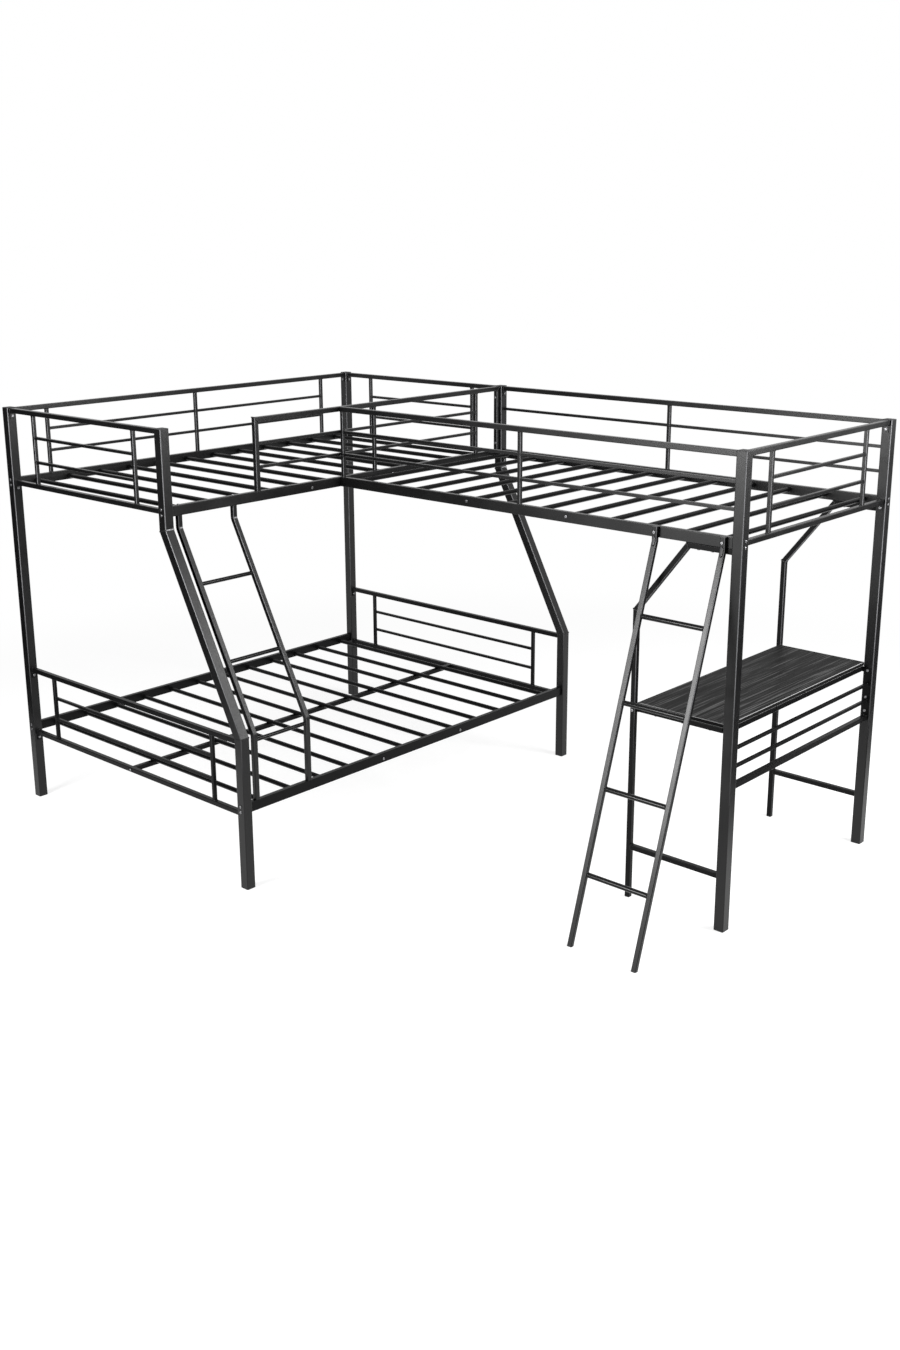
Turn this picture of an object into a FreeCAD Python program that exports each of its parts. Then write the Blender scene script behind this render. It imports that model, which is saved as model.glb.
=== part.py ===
import FreeCAD, Part
import math
import os

Vector = FreeCAD.Vector

# Overall layout, post centre to post centre
bunk_length = 1940.0
twin_width = 1034.0
full_width = 1420.0
loft_reach = 1916.0
overall_height = 1724.0

# Square posts; the right-hand bunk posts bend below the upper rail and above the lower panel
post_size = 40.0
post_wall = 1.5
post_corner = 3.5
bend_drop = 50.0
bend_low_rise = 15.0
cap_height = 3.0
foot_height = 4.0
plug_depth = 15.0
plug_clearance = 0.2

# Side rails, end-panel tubes, pickets and guard bars
rail_height = 40.0
rail_thickness = 20.0
rail_wall = 1.2
rail_corner = 2.0
guard_height = 334.0
lower_rail_bottom = 305.0
tube_size = 20.0
tube_wall = 1.2
tube_corner = 2.5
picket_size = 15.0
bar_size = 12.0
bar_wall = 1.0
bar_corner = 1.5
picket_inset = 178.0
bar_rows = 2
lower_top_rail_z = 587.0
right_guard_start_y = 451.0
guard_bolt_inset = 30.0
loft_back_picket_inset = 985.0

# Round slats, and the two slats of each bed that tie its rails together
slat_diameter = 19.0
slat_wall = 1.0
slat_count = 12
bunk_slat_margin = 81.0
loft_slat_margin = 57.5
bunk_slat_rise = 16.0
loft_slat_rise = 22.0
slat_insert = 8.0
slat_hole_clearance = 0.3
tie_slats = (4, 7)

# Bolts, weld nuts and the plates they hold
bolt_diameter = 6.0
bolt_clearance = 0.25
head_diameter = 11.0
head_height = 3.2
head_round = 1.4
socket_across = 4.0
socket_depth = 1.8
nut_across = 10.0
nut_height = 5.0
thread_past_nut = 1.5
drill_overshoot = 1.0
plate_thickness = 3.0
plate_drop = 25.0
plate_bolt_drop = 13.0
rail_bolt_spacing = 22.0
end_block_length = 14.0

# Fixed bunk ladder, bent to follow the right-hand posts
bunk_stile_y = (59.0, 325.0)
stile_size = 20.0
stile_wall = 1.2
stile_corner = 3.0
stile_bend_radius = 32.0
bunk_rung_diameter = 16.0
bunk_rung_drop = 253.0
bunk_rung_below_bend = 21.0
bunk_rung_count = 3
rung_wall = 1.2

# Leaning loft ladder; its solid upper ends are bent upright, with a pressed dent in each bend
loft_ladder_inset = 54.0
loft_ladder_spacing = 272.0
loft_stile_width = 20.0
loft_stile_depth = 16.0
ladder_spread = 440.0
ladder_bend_drop = 12.0
ladder_end_length = 32.0
dent_radius = 8.0
dent_depth = 3.5
dent_length = 22.0
loft_rung_diameter = 19.0
loft_rung_drop = 264.0
loft_rung_low_z = 247.0
loft_rung_count = 4

# Desk
desk_reach = 405.0
desk_kink_drop = 264.0
desk_lean = 206.0
stretcher_size = 20.0
stretcher_z = 205.0
desk_top_z = 766.0
desk_board = 16.0
desk_board_setback = 6.0
desk_board_round = 2.5
desk_board_gap = 2.0
desk_bar_size = 12.0
desk_bar_z = (680.0, 612.0)
desk_low_tube = 20.0
desk_low_z = 542.0
desk_plate = 4.0
desk_plate_width = 25.0
desk_plate_bolt_z = (737.0, 628.0, 572.0)
desk_screw_length = 30.0
desk_screw_shares = (0.2, 0.5, 0.8)
brace_bolt_insets = (39.0, 94.0)

# Values that follow from the sizes above
half_post = post_size / 2
half_tube = tube_size / 2
half_rail = rail_thickness / 2
half_picket = picket_size / 2
loft_x = twin_width + loft_reach
loft_y = bunk_length - twin_width
tube_top = overall_height - cap_height
top_rail_z = tube_top - half_tube
upper_rail_bottom = overall_height - guard_height
upper_rail_z = upper_rail_bottom + rail_height / 2
lower_rail_z = lower_rail_bottom + rail_height / 2
upper_rail_top = upper_rail_bottom + rail_height
lower_rail_top = lower_rail_bottom + rail_height
upper_slat_z = upper_rail_bottom + bunk_slat_rise
lower_slat_z = lower_rail_bottom + bunk_slat_rise
loft_slat_z = upper_rail_bottom + loft_slat_rise
lower_tube_z = lower_slat_z - slat_diameter / 2 - half_tube
bend_top_z = upper_rail_bottom - bend_drop
bend_low_z = lower_top_rail_z + bend_low_rise
bunk_rung_top_z = upper_rail_bottom - bunk_rung_drop
bunk_rung_low_z = bend_low_z - bunk_rung_below_bend
loft_rung_top_z = upper_rail_bottom - loft_rung_drop
loft_right_stile_x = loft_x - loft_ladder_inset
loft_stile_x = (loft_right_stile_x - loft_ladder_spacing, loft_right_stile_x)
rail_front_y = loft_y - half_rail
ladder_top_y = rail_front_y - loft_stile_depth / 2
ladder_bend_z = upper_rail_bottom - ladder_bend_drop
ladder_foot_y = ladder_top_y - ladder_spread
ladder_slope = ladder_spread / ladder_bend_z
board_bottom = desk_top_z - desk_board
desk_frame_z = board_bottom - half_tube
brace_z = upper_rail_bottom - half_tube
desk_leg_x = loft_x - desk_reach
desk_kink_z = brace_z - desk_kink_drop
desk_kink_top_x = desk_leg_x + desk_lean
desk_board_left = desk_leg_x + desk_board_setback
desk_board_right = loft_x - half_post - desk_board_gap
bolt_grip = plate_thickness + post_wall + nut_height + thread_past_nut

x_low = -half_post
x_high = loft_x + half_post + head_height
y_low = -half_post - head_height
y_high = bunk_length + half_post + head_height
origin_shift = Vector(-(x_low + x_high) / 2, -(y_low + y_high) / 2, 0)

X = Vector(1, 0, 0)
Y = Vector(0, 1, 0)
Z = Vector(0, 0, 1)

nodes = {}


def add(name, *solids):
    nodes.setdefault(name, []).extend(solids)


def unit(vector):
    return vector * (1 / vector.Length)


def rounded_loop(centre, across, up, width, depth, corner):
    """Closed loop of a rounded rectangle in the plane of the two directions."""
    def point(a, b):
        return centre + across * a + up * b

    half_w = width / 2
    half_d = depth / 2
    if corner == 0:
        ring = [(half_w, half_d), (-half_w, half_d), (-half_w, -half_d), (half_w, -half_d)]
        ring.append(ring[0])
        return Part.makePolygon([point(a, b) for a, b in ring])
    edges = []
    in_w = half_w - corner
    in_d = half_d - corner
    mid = corner * math.sqrt(0.5)
    for sign_a, sign_b, first in ((1, 1, True), (-1, 1, False), (-1, -1, True), (1, -1, False)):
        side = point(sign_a * half_w, sign_b * in_d)
        top = point(sign_a * in_w, sign_b * half_d)
        middle = point(sign_a * (in_w + mid), sign_b * (in_d + mid))
        start, end = (side, top) if first else (top, side)
        edges.append(Part.Arc(start, middle, end).toShape())
    lines = []
    for index in range(4):
        start = edges[index].Vertexes[-1].Point
        end = edges[(index + 1) % 4].Vertexes[0].Point
        lines.append(Part.makeLine(start, end))
    ordered = [edge for pair in zip(edges, lines) for edge in pair]
    return Part.Wire(ordered)


def tube_face(centre, along, side, width, depth, wall, corner):
    """Cross-section of a hollow tube, square to its run."""
    up = along.cross(side)
    outer = rounded_loop(centre, side, up, width, depth, corner)
    inner = rounded_loop(centre, side, up, width - 2 * wall, depth - 2 * wall, 0)
    return Part.makeFace([outer, inner], "Part::FaceMakerBullseye")


def tube(start, end, side, width, depth, wall, corner):
    run = end - start
    return tube_face(start, unit(run), side, width, depth, wall, corner).extrude(run)


def prism(start, end, side, width, depth, corner):
    run = end - start
    along = unit(run)
    loop = rounded_loop(start, side, along.cross(side), width, depth, corner)
    return Part.Face(loop).extrude(run)


def square_tube(start, end, side, size=tube_size, wall=tube_wall, corner=tube_corner):
    return tube(start, end, side, size, size, wall, corner)


def pipe(start, end, diameter, wall):
    run = end - start
    outer = Part.makeCylinder(diameter / 2, run.Length, start, run)
    inner = Part.makeCylinder(diameter / 2 - wall, run.Length, start, run)
    return outer.cut(inner)


def box(low, high):
    size = high - low
    return Part.makeBox(size.x, size.y, size.z, low)


def trim(solid, point, normal):
    """Cuts away what lies beyond a plane, on the side its normal points to."""
    beyond = Part.makeCylinder(3 * bunk_length, 3 * bunk_length, point, normal)
    return solid.cut(beyond).Solids[0]


def mitred_run(points, side, size, wall, corner):
    """Straight tube lengths that meet on mitre planes at each bend."""
    lengths = []
    last = len(points) - 2
    for index in range(last + 1):
        along = unit(points[index + 1] - points[index])
        start = points[index] - along * (size if index > 0 else 0)
        end = points[index + 1] + along * (size if index < last else 0)
        length = tube(start, end, side, size, size, wall, corner)
        if index > 0:
            before = unit(points[index] - points[index - 1])
            length = trim(length, points[index], unit(before + along) * -1)
        if index < last:
            after = unit(points[index + 2] - points[index + 1])
            length = trim(length, points[index + 1], unit(along + after))
        lengths.append(length)
    return lengths


def bent_run(points, radius, side, size, wall, corner):
    """Straight tube lengths joined by smooth bends."""
    pieces = []
    start = points[0]
    for index in range(1, len(points) - 1):
        before = unit(points[index] - points[index - 1])
        after = unit(points[index + 1] - points[index])
        angle = before.getAngle(after)
        tangent = radius * math.tan(angle / 2)
        bend_start = points[index] - before * tangent
        inward = unit(after - before * after.dot(before))
        pieces.append(square_tube(start, bend_start, side, size, wall, corner))
        face = tube_face(bend_start, before, side, size, size, wall, corner)
        centre = bend_start + inward * radius
        pieces.append(face.revolve(centre, before.cross(inward), math.degrees(angle)))
        start = points[index] + after * tangent
    pieces.append(square_tube(start, points[-1], side, size, wall, corner))
    return pieces


def rounded_rod(middle, along, side, length, radius):
    """Solid rod with ball ends; its straight part has the given length."""
    low = middle - along * (length / 2)
    high = middle + along * (length / 2)
    slant = radius * math.sqrt(0.5)
    low_tip = low - along * radius
    high_tip = high + along * radius
    low_arc = Part.Arc(low_tip, low - along * slant + side * slant, low + side * radius)
    high_arc = Part.Arc(high + side * radius, high + along * slant + side * slant, high_tip)
    straight = Part.makeLine(low + side * radius, high + side * radius)
    axis = Part.makeLine(high_tip, low_tip)
    outline = Part.Wire([low_arc.toShape(), straight, high_arc.toShape(), axis])
    return Part.Face(outline).revolve(middle, along, 360)


def hexagon(across, height):
    corner = across / math.sqrt(3)
    turns = [math.radians(60 * step) for step in range(7)]
    ring = [Vector(corner * math.cos(turn), corner * math.sin(turn), 0) for turn in turns]
    return Part.Face(Part.makePolygon(ring)).extrude(Vector(0, 0, height))


def place(shape, seat, direction):
    placed = shape.copy()
    placed.Placement = FreeCAD.Placement(seat, FreeCAD.Rotation(Z, direction))
    return placed


def bolt_shape(length):
    """Button-head socket bolt, its head seat at the origin and its shank along +Z."""
    head = Part.makeCylinder(head_diameter / 2, head_height, Vector(0, 0, -head_height))
    rim = min(head.Edges, key=lambda edge: edge.CenterOfMass.z)
    head = head.makeFillet(head_round, [rim])
    socket = hexagon(socket_across, socket_depth)
    socket.translate(Vector(0, 0, -head_height))
    shank = Part.makeCylinder(bolt_diameter / 2, length)
    return head.cut(socket).fuse(shank).removeSplitter().Solids[0]


nut_hole = Part.makeCylinder(bolt_diameter / 2 + bolt_clearance, nut_height)
plain_nut = hexagon(nut_across, nut_height).cut(nut_hole)
bolt_cache = {}


def put_bolt(group, seat, direction, length, through=(), nut_at=None):
    """Seats a bolt, drills the nodes it passes through and adds its weld nut."""
    if length not in bolt_cache:
        bolt_cache[length] = bolt_shape(length)
    add(group, place(bolt_cache[length], seat, direction))
    for name in through:
        drill(name, seat, direction, length, bolt_diameter / 2 + bolt_clearance)
    if nut_at is not None:
        add("weld_nuts", place(plain_nut, seat + direction * nut_at, direction))


def drill(name, start, direction, length, radius):
    past = direction * drill_overshoot
    tool = Part.makeCylinder(radius, length + 2 * drill_overshoot, start - past, direction)
    drilled = []
    for solid in nodes[name]:
        if solid.BoundBox.intersect(tool.BoundBox):
            solid = solid.cut(tool).Solids[0]
        drilled.append(solid)
    nodes[name] = drilled


def end_plug(x, y, z, size, wall, corner, up):
    """Plastic plug for a square tube: a flange on its end and a plug inside it."""
    flange_height = cap_height if up > 0 else foot_height
    inside = size - 2 * wall - 2 * plug_clearance
    seat = Vector(x, y, z)
    flange = prism(seat, seat + Z * (up * flange_height), X, size, size, corner)
    plug = prism(seat, seat - Z * (up * plug_depth), X, inside, inside, 0)
    return flange.fuse(plug).removeSplitter().Solids[0]


# Posts
straight_posts = {
    "post_bunk_front_left": (0, 0),
    "post_bunk_back_left": (0, bunk_length),
    "post_loft_front": (loft_x, loft_y),
    "post_loft_back": (loft_x, bunk_length),
}
for name, (x, y) in straight_posts.items():
    low = Vector(x, y, foot_height)
    high = Vector(x, y, tube_top)
    add(name, tube(low, high, X, post_size, post_size, post_wall, post_corner))

bent_posts = {"post_bunk_front_right": 0.0, "post_bunk_back_right": bunk_length}
for name, y in bent_posts.items():
    points = [
        Vector(twin_width, y, tube_top),
        Vector(twin_width, y, bend_top_z),
        Vector(full_width, y, bend_low_z),
        Vector(full_width, y, foot_height),
    ]
    add(name, *mitred_run(points, Y, post_size, post_wall, post_corner))

corner_tops = [
    (0, 0),
    (twin_width, 0),
    (0, bunk_length),
    (twin_width, bunk_length),
    (loft_x, loft_y),
    (loft_x, bunk_length),
]
corner_feet = [
    (0, 0),
    (full_width, 0),
    (0, bunk_length),
    (full_width, bunk_length),
    (loft_x, loft_y),
    (loft_x, bunk_length),
]
for x, y in corner_tops:
    add("post_caps", end_plug(x, y, tube_top, post_size, post_wall, post_corner, 1))
for x, y in corner_feet:
    add("post_feet", end_plug(x, y, foot_height, post_size, post_wall, post_corner, -1))


# Side rails: each end is bolted through its post into a threaded block inside the rail
def side_rail(name, start, end, side):
    add(name, tube(start, end, side, rail_thickness, rail_height, rail_wall, rail_corner))


def end_block(start, along, side):
    inside_w = rail_thickness - 2 * rail_wall
    inside_h = rail_height - 2 * rail_wall
    block = prism(start, start + along * end_block_length, side, inside_w, inside_h, 0)
    add("rail_end_blocks", block)


def rail_bolts(post, end, along, side, grip):
    """Two bolts through a post, or through another rail, into the end of a side rail."""
    end_block(end, along, side)
    for rise in (-rail_bolt_spacing / 2, rail_bolt_spacing / 2):
        seat = end - along * grip + Z * rise
        put_bolt("rail_bolts", seat, along, grip + end_block_length, (post, "rail_end_blocks"))


bunk_rails = [
    ("upper_left_rail", 0, upper_rail_z, "left"),
    ("upper_right_rail", twin_width, upper_rail_z, "right"),
    ("lower_left_rail", 0, lower_rail_z, "left"),
    ("lower_right_rail", full_width, lower_rail_z, "right"),
]
for name, x, z, hand in bunk_rails:
    start = Vector(x, half_post, z)
    end = Vector(x, bunk_length - half_post, z)
    side_rail(name, start, end, X)
    rail_bolts("post_bunk_front_" + hand, start, Y, X, post_size)
    rail_bolts("post_bunk_back_" + hand, end, Y * -1, X, post_size)

loft_front_start = Vector(twin_width + half_rail, loft_y, upper_rail_z)
loft_front_end = Vector(loft_x - half_post, loft_y, upper_rail_z)
side_rail("loft_front_rail", loft_front_start, loft_front_end, Y)
rail_bolts("upper_right_rail", loft_front_start, X, Y, rail_thickness)
rail_bolts("post_loft_front", loft_front_end, X * -1, Y, post_size)

loft_back_start = Vector(twin_width + half_post + plate_thickness, bunk_length, upper_rail_z)
loft_back_end = Vector(loft_x - half_post, bunk_length, upper_rail_z)
side_rail("loft_back_rail", loft_back_start, loft_back_end, Y)
rail_bolts("post_loft_back", loft_back_end, X * -1, Y, post_size)


class Line:
    """A straight line on the floor plan; its points are a distance along it and a height."""

    def __init__(self, start, end):
        self.start = Vector(start[0], start[1], 0)
        run = Vector(end[0], end[1], 0) - self.start
        self.length = run.Length
        self.along = unit(run)
        self.side = Z.cross(self.along)

    def at(self, distance, z):
        return self.start + self.along * distance + Z * z


def ordered_box(corner_a, corner_b):
    low = Vector(*[min(pair) for pair in zip(corner_a, corner_b)])
    high = Vector(*[max(pair) for pair in zip(corner_a, corner_b)])
    return box(low, high)


def end_plate(node, post, group, face, toward, side, low, high, wide):
    """Plate welded to a tube's end, with one bolt below the tube into the post."""
    inner = face - toward * plate_thickness
    half = side * (wide / 2)
    add(node, ordered_box(inner - half + Z * low, face + half + Z * high))
    seat = inner + Z * (low + plate_drop - plate_bolt_drop)
    put_bolt(group, seat, toward, bolt_grip, (node, post), plate_thickness + post_wall)


def plated_tube(node, group, line, z, posts, size=tube_size, first=half_post):
    """Level tube along a line; each end that has a post is plated and bolted to it."""
    last = line.length - half_post
    start = first + (plate_thickness if posts[0] else 0)
    end = last - (plate_thickness if posts[1] else 0)
    add(node, square_tube(line.at(start, z), line.at(end, z), line.side, size))
    low = z - size / 2 - plate_drop
    high = z + size / 2
    if posts[0]:
        end_plate(node, posts[0], group, line.at(first, 0), line.along * -1, line.side, low, high, size)
    if posts[1]:
        end_plate(node, posts[1], group, line.at(last, 0), line.along, line.side, low, high, size)


def add_pickets(node, line, stops, low, high):
    for stop in stops:
        add(node, square_tube(line.at(stop, low), line.at(stop, high), line.side, picket_size))


def add_bars(node, line, spans, high, low):
    """Rows of bars, evenly spaced between two centre-line heights, in each span."""
    for row in range(1, bar_rows + 1):
        z = high - (high - low) * row / (bar_rows + 1)
        for first, last in spans:
            bar = square_tube(line.at(first, z), line.at(last, z), line.side, bar_size, bar_wall, bar_corner)
            add(node, bar)


def between(stops, half=half_picket):
    """Clear spans between neighbouring pickets."""
    return [(a + half, b - half) for a, b in zip(stops, stops[1:])]


# The loft back rail meets its bunk post on an end plate, since the other side is taken
end_plate(
    "loft_back_rail", "post_bunk_back_right", "rail_bolts",
    Vector(twin_width + half_post, bunk_length, 0), X * -1, Y,
    upper_rail_bottom - plate_drop, upper_rail_top, rail_thickness,
)

# End panels
front_posts = ("post_bunk_front_left", "post_bunk_front_right")
back_posts = ("post_bunk_back_left", "post_bunk_back_right")
loft_posts = ("post_loft_front", "post_loft_back")
upper_front = Line((0, 0), (twin_width, 0))
upper_back = Line((0, bunk_length), (twin_width, bunk_length))
lower_front = Line((0, 0), (full_width, 0))
lower_back = Line((0, bunk_length), (full_width, bunk_length))
loft_end = Line((loft_x, loft_y), (loft_x, bunk_length))
end_panels = [
    ("upper_front_panel", upper_front, front_posts, top_rail_z, upper_rail_z),
    ("upper_back_panel", upper_back, back_posts, top_rail_z, upper_rail_z),
    ("lower_front_panel", lower_front, front_posts, lower_top_rail_z, lower_tube_z),
    ("lower_back_panel", lower_back, back_posts, lower_top_rail_z, lower_tube_z),
    ("loft_end_panel", loft_end, loft_posts, top_rail_z, upper_rail_z),
]
for name, line, posts, high, low in end_panels:
    stops = [picket_inset, line.length - picket_inset]
    plated_tube(name, "panel_bolts", line, high, posts)
    plated_tube(name, "panel_bolts", line, low, posts)
    add_pickets(name, line, stops, low + half_tube, high - half_tube)
    add_bars(name, line, between(stops), high, low)

# Guards: pickets stand on the side rails, and the bars share the height above the rail evenly
guard_head = top_rail_z - half_tube
left_line = Line((0, 0), (0, bunk_length))
left_stops = [picket_inset, bunk_length / 2, bunk_length - picket_inset]
left_posts = ("post_bunk_front_left", "post_bunk_back_left")
plated_tube("upper_left_guard", "guard_bolts", left_line, top_rail_z, left_posts)
add_pickets("upper_left_guard", left_line, left_stops, upper_rail_top, guard_head)
add_bars("upper_left_guard", left_line, between(left_stops), top_rail_z, upper_rail_top)

# The right guard is a bent frame that starts past the ladder and ends against the back post
right_line = Line((twin_width, 0), (twin_width, bunk_length))
right_start = right_guard_start_y + half_tube
right_last = bunk_length - picket_inset
right_middle = (right_guard_start_y + right_last) / 2
right_spans = [
    (right_start, right_middle - half_picket),
    (right_middle + half_picket, right_last - half_picket),
]
right_end = bunk_length - half_post - half_tube
right_run = [
    right_line.at(right_guard_start_y, upper_rail_top),
    right_line.at(right_guard_start_y, top_rail_z),
    right_line.at(right_end, top_rail_z),
    right_line.at(right_end, upper_rail_top),
]
add("upper_right_guard", *mitred_run(right_run, X, tube_size, tube_wall, tube_corner))
right_grip = tube_size + post_wall
for z in (guard_head - guard_bolt_inset, upper_rail_top + guard_bolt_inset):
    seat = right_line.at(right_end - half_tube, z)
    put_bolt("guard_bolts", seat, Y, right_grip + nut_height + thread_past_nut,
             ("upper_right_guard", "post_bunk_back_right"), right_grip)
add_pickets("upper_right_guard", right_line, [right_middle, right_last], upper_rail_top, guard_head)
add_bars("upper_right_guard", right_line, right_spans, top_rail_z, upper_rail_top)

# The loft front guard starts at the outer face of the bunk's right guard
front_line = Line((twin_width, loft_y), (loft_x, loft_y))
front_first = half_rail + half_picket
front_middle = (front_first + front_line.length) / 2
front_spans = [
    (front_first + half_picket, front_middle - half_picket),
    (front_middle + half_picket, front_line.length - half_post),
]
plated_tube("loft_front_guard", "guard_bolts", front_line, top_rail_z,
            (None, "post_loft_front"), first=half_tube)
add_pickets("loft_front_guard", front_line, [front_first, front_middle], upper_rail_top, guard_head)
add_bars("loft_front_guard", front_line, front_spans, top_rail_z, upper_rail_top)

back_line = Line((twin_width, bunk_length), (loft_x, bunk_length))
back_middle = back_line.length - loft_back_picket_inset
back_spans = [
    (half_post, back_middle - half_picket),
    (back_middle + half_picket, back_line.length - half_post),
]
plated_tube("loft_back_guard", "guard_bolts", back_line, top_rail_z,
            ("post_bunk_back_right", "post_loft_back"))
add_pickets("loft_back_guard", back_line, [back_middle], upper_rail_top, guard_head)
add_bars("loft_back_guard", back_line, back_spans, top_rail_z, upper_rail_top)


def tube_plug(start, along, side):
    """Threaded plug inside the end of a square tube, where a bolt holds it to its neighbour."""
    inside = tube_size - 2 * tube_wall
    add("tube_end_plugs", prism(start, start + along * end_block_length, side, inside, inside, 0))


def tube_bolt(group, end, along, side, grip, through):
    """One bolt through a neighbour into the plugged end of a square tube."""
    tube_plug(end, along, side)
    seat = end - along * grip
    put_bolt(group, seat, along, grip + end_block_length, through + ("tube_end_plugs",))


tube_bolt("guard_bolts", front_line.at(half_tube, top_rail_z), X, Y, tube_size, ("upper_right_guard",))

# Centre beam under the lower slats
beam_x = full_width / 2
beam_front = Vector(beam_x, half_tube, lower_tube_z)
beam_back = Vector(beam_x, bunk_length - half_tube, lower_tube_z)
add("center_beam", square_tube(beam_front, beam_back, X))
tube_bolt("panel_bolts", beam_front, Y, X, tube_size, ("lower_front_panel",))
tube_bolt("panel_bolts", beam_back, Y * -1, X, tube_size, ("lower_back_panel",))


# Slats: round tubes whose ends sit in holes in the rails' inner walls
def slat_row(node, rails, starts, run, across):
    """One bed's slats; the tie slats are also bolted from the rails' outer faces."""
    half_insert = slat_insert - rail_thickness
    for index, start in enumerate(starts):
        end = start + run
        add(node, pipe(start, end, slat_diameter, slat_wall))
        hole = slat_diameter / 2 + slat_hole_clearance
        drill(rails[0], start + across, across, slat_insert, hole)
        drill(rails[1], end - across, across * -1, slat_insert, hole)
        if index not in tie_slats:
            continue
        for rail, point, inward in ((rails[0], start, across), (rails[1], end, across * -1)):
            plug_radius = slat_diameter / 2 - slat_wall - plug_clearance
            plug = Part.makeCylinder(plug_radius, end_block_length, point, inward)
            add("slat_end_plugs", plug)
            seat = point + inward * half_insert
            length = end_block_length - half_insert
            put_bolt("slat_bolts", seat, inward, length, (rail, "slat_end_plugs"))


def even_steps(first, last, count):
    return [first + (last - first) * index / (count - 1) for index in range(count)]


slat_start = half_rail - slat_insert
bunk_slat_ends = (half_post + bunk_slat_margin, bunk_length - half_post - bunk_slat_margin)
bunk_steps = even_steps(*bunk_slat_ends, slat_count)
upper_starts = [Vector(slat_start, y, upper_slat_z) for y in bunk_steps]
lower_starts = [Vector(slat_start, y, lower_slat_z) for y in bunk_steps]
slat_row("upper_bunk_slats", ("upper_left_rail", "upper_right_rail"), upper_starts,
         X * (twin_width - 2 * slat_start), X)
slat_row("lower_bunk_slats", ("lower_left_rail", "lower_right_rail"), lower_starts,
         X * (full_width - 2 * slat_start), X)
loft_slat_ends = (loft_front_start.x + loft_slat_margin, loft_front_end.x - loft_slat_margin)
loft_steps = even_steps(*loft_slat_ends, slat_count)
loft_starts = [Vector(x, loft_y + slat_start, loft_slat_z) for x in loft_steps]
slat_row("loft_slats", ("loft_front_rail", "loft_back_rail"), loft_starts,
         Y * (twin_width - 2 * slat_start), Y)

# Bunk ladder: its bent stiles run from the upper right rail down to the lower right rail
stile_names = ("bunk_ladder_front_stile", "bunk_ladder_back_stile")
for name, y in zip(stile_names, bunk_stile_y):
    points = [
        Vector(twin_width, y, upper_rail_bottom),
        Vector(twin_width, y, bend_top_z),
        Vector(full_width, y, bend_low_z),
        Vector(full_width, y, lower_rail_top),
    ]
    add(name, *bent_run(points, stile_bend_radius, Y, stile_size, stile_wall, stile_corner))
    tube_bolt("bunk_ladder_bolts", points[0], Z * -1, X, rail_height, ("upper_right_rail",))
    tube_bolt("bunk_ladder_bolts", points[-1], Z, X, rail_height, ("lower_right_rail",))
for z in even_steps(bunk_rung_top_z, bunk_rung_low_z, bunk_rung_count):
    share = min((bend_top_z - z) / (bend_top_z - bend_low_z), 1)
    x = twin_width + (full_width - twin_width) * share
    start = Vector(x, bunk_stile_y[0] + stile_size / 2, z)
    end = Vector(x, bunk_stile_y[1] - stile_size / 2, z)
    add("bunk_ladder_rungs", pipe(start, end, bunk_rung_diameter, rung_wall))

# Loft ladder: leans from the floor to the loft rail, where a bolt holds each upright end
ladder_up = unit(Vector(0, ladder_spread, ladder_bend_z))
ladder_mitre = unit(ladder_up + Z)
ladder_out = X.cross(ladder_mitre)
ladder_grip = loft_stile_depth + rail_wall
loft_stile_names = ("loft_ladder_left_stile", "loft_ladder_right_stile")
for name, x in zip(loft_stile_names, loft_stile_x):
    bend = Vector(x, ladder_top_y, ladder_bend_z)
    joint = bend - ladder_up * ladder_end_length
    below = Vector(x, ladder_foot_y, 0) - ladder_up * loft_stile_depth
    width = loft_stile_width
    depth = loft_stile_depth
    stile = tube(below, joint, X, width, depth, stile_wall, stile_corner)
    floor_cut = Vector(x, ladder_foot_y, foot_height)
    add(name, trim(stile, floor_cut, Z * -1))

    pad = trim(prism(below, joint, X, width, depth, stile_corner), floor_cut, Z)
    pad = trim(pad, Vector(x, ladder_foot_y, 0), Z * -1)
    inside = 2 * stile_wall + 2 * plug_clearance
    plug = trim(prism(below, joint, X, width - inside, depth - inside, 0), floor_cut, Z * -1)
    plug = trim(plug, floor_cut + Z * plug_depth, Z)
    add("loft_ladder_feet", pad.fuse(plug).removeSplitter().Solids[0])

    leaning = prism(joint, bend + ladder_up * depth, X, width, depth, stile_corner)
    upright = prism(bend - Z * depth, Vector(x, ladder_top_y, upper_rail_top), X, width, depth, stile_corner)
    leaning = trim(leaning, bend, ladder_mitre)
    upright = trim(upright, bend, ladder_mitre * -1)
    dent_middle = bend + ladder_out * (depth / 2 + dent_radius - dent_depth)
    dent = rounded_rod(dent_middle, ladder_mitre, ladder_out, dent_length, dent_radius)
    add("loft_ladder_ends", leaning.fuse(upright).cut(dent).Solids[0])
    seat = Vector(x, rail_front_y - depth, upper_rail_z)
    put_bolt("loft_ladder_bolts", seat, Y, ladder_grip + nut_height + thread_past_nut,
             ("loft_ladder_ends", "loft_front_rail"), ladder_grip)
for z in even_steps(loft_rung_top_z, loft_rung_low_z, loft_rung_count):
    y = ladder_foot_y + ladder_slope * z
    start = Vector(loft_stile_x[0] + loft_stile_width / 2, y, z)
    end = Vector(loft_stile_x[1] - loft_stile_width / 2, y, z)
    add("loft_ladder_rungs", pipe(start, end, loft_rung_diameter, rung_wall))

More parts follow.
